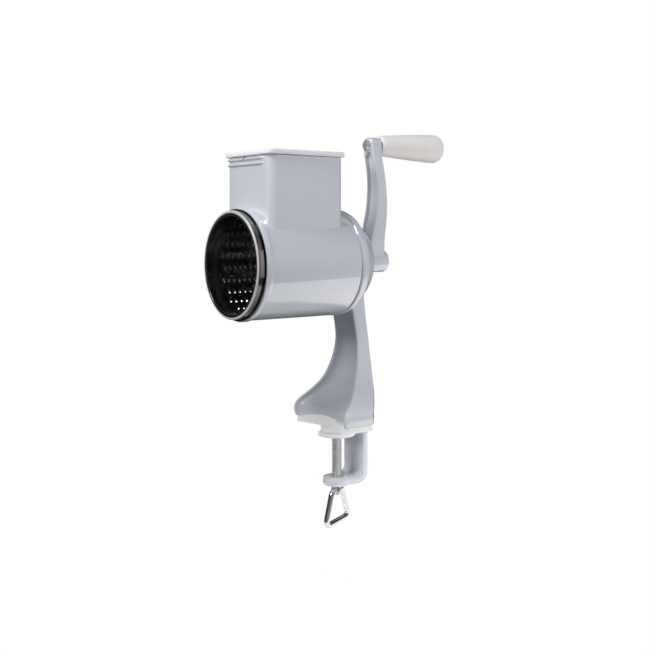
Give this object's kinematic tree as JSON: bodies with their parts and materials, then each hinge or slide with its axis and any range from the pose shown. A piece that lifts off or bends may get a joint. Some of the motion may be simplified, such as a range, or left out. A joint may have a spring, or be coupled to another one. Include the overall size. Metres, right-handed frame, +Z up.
{
  "type": "nut grinder",
  "caption": "Hand-cranked table grinder: a perforated steel drum in a plastic case with a square hopper and pusher, on a curved leg with a screw clamp.",
  "frame": {"origin": "middle of the sole face that rests on the table, on the clamp screw's axis", "axes": "+Z up from the table, -Y out of the drum's mouth and over the table, +Y towards the crank"},
  "size_m": [0.0864, 0.209, 0.3222],
  "materials": {
    "body": "gloss",
    "lid": "gloss",
    "white": "satin",
    "nylon": "satin",
    "grip": "satin",
    "drum": "bright",
    "steel": "satin",
    "zinc": "bright",
    "bronze": "satin"
  },
  "bodies": {
    "root": {"stand": "body", "housing": "body", "housing_screw_1": "steel", "housing_screw_2": "steel", "housing_screw_3": "steel", "foot_sole": "white", "shaft_bush": "bronze"},
    "rotor": {"drum_sheet": "drum", "drum_collar": "drum", "collar_strap": "drum", "drum_back": "drum", "drum_hub": "steel", "hub_rivet_1": "steel", "hub_rivet_2": "steel", "hub_rivet_3": "steel", "drive_shaft": "steel", "thrust_washer": "nylon", "crank_arm": "body", "crank_screw": "steel"},
    "grip": {"grip": "grip", "grip_screw": "steel", "grip_washer": "steel"},
    "pusher": {"pusher_box": "body", "pusher_lid": "lid"},
    "pad": {"pressure_pad": "zinc", "pad_face": "white", "pad_washer": "steel"},
    "screw": {"clamp_screw": "zinc"},
    "bail": {"bail": "zinc"}
  },
  "joints": [
    {"name": "crank_turn", "type": "hinge", "parent": "root", "child": "rotor", "pos_m": [0, 0, 0.1325], "axis": [0, 1, 0], "continuous": true},
    {"name": "grip_spin", "type": "hinge", "parent": "rotor", "child": "grip", "pos_m": [0, 0.08, 0.2294], "axis": [0, 1, 0], "continuous": true},
    {"name": "pusher_lift", "type": "slide", "parent": "root", "child": "pusher", "axis": [0, 0, 1], "range_m": [0, 0.06]},
    {"name": "pad_slide", "type": "slide", "parent": "root", "child": "pad", "axis": [0, 0, 1], "range_m": [-0.03, 0]},
    {"name": "screw_turn", "type": "hinge", "parent": "pad", "child": "screw", "pos_m": [0, 0, -0.03], "axis": [0, 0, 1], "range_deg": [-8641, 0]},
    {"name": "bail_swing", "type": "hinge", "parent": "screw", "child": "bail", "pos_m": [0, 0, -0.0527], "axis": [-0.4226, 0.9063, 0], "range_deg": [-80, 80]}
  ],
  "couplings": [
    {"joint": "screw_turn", "follows": "pad_slide", "rad_per_m": 5026.5}
  ]
}
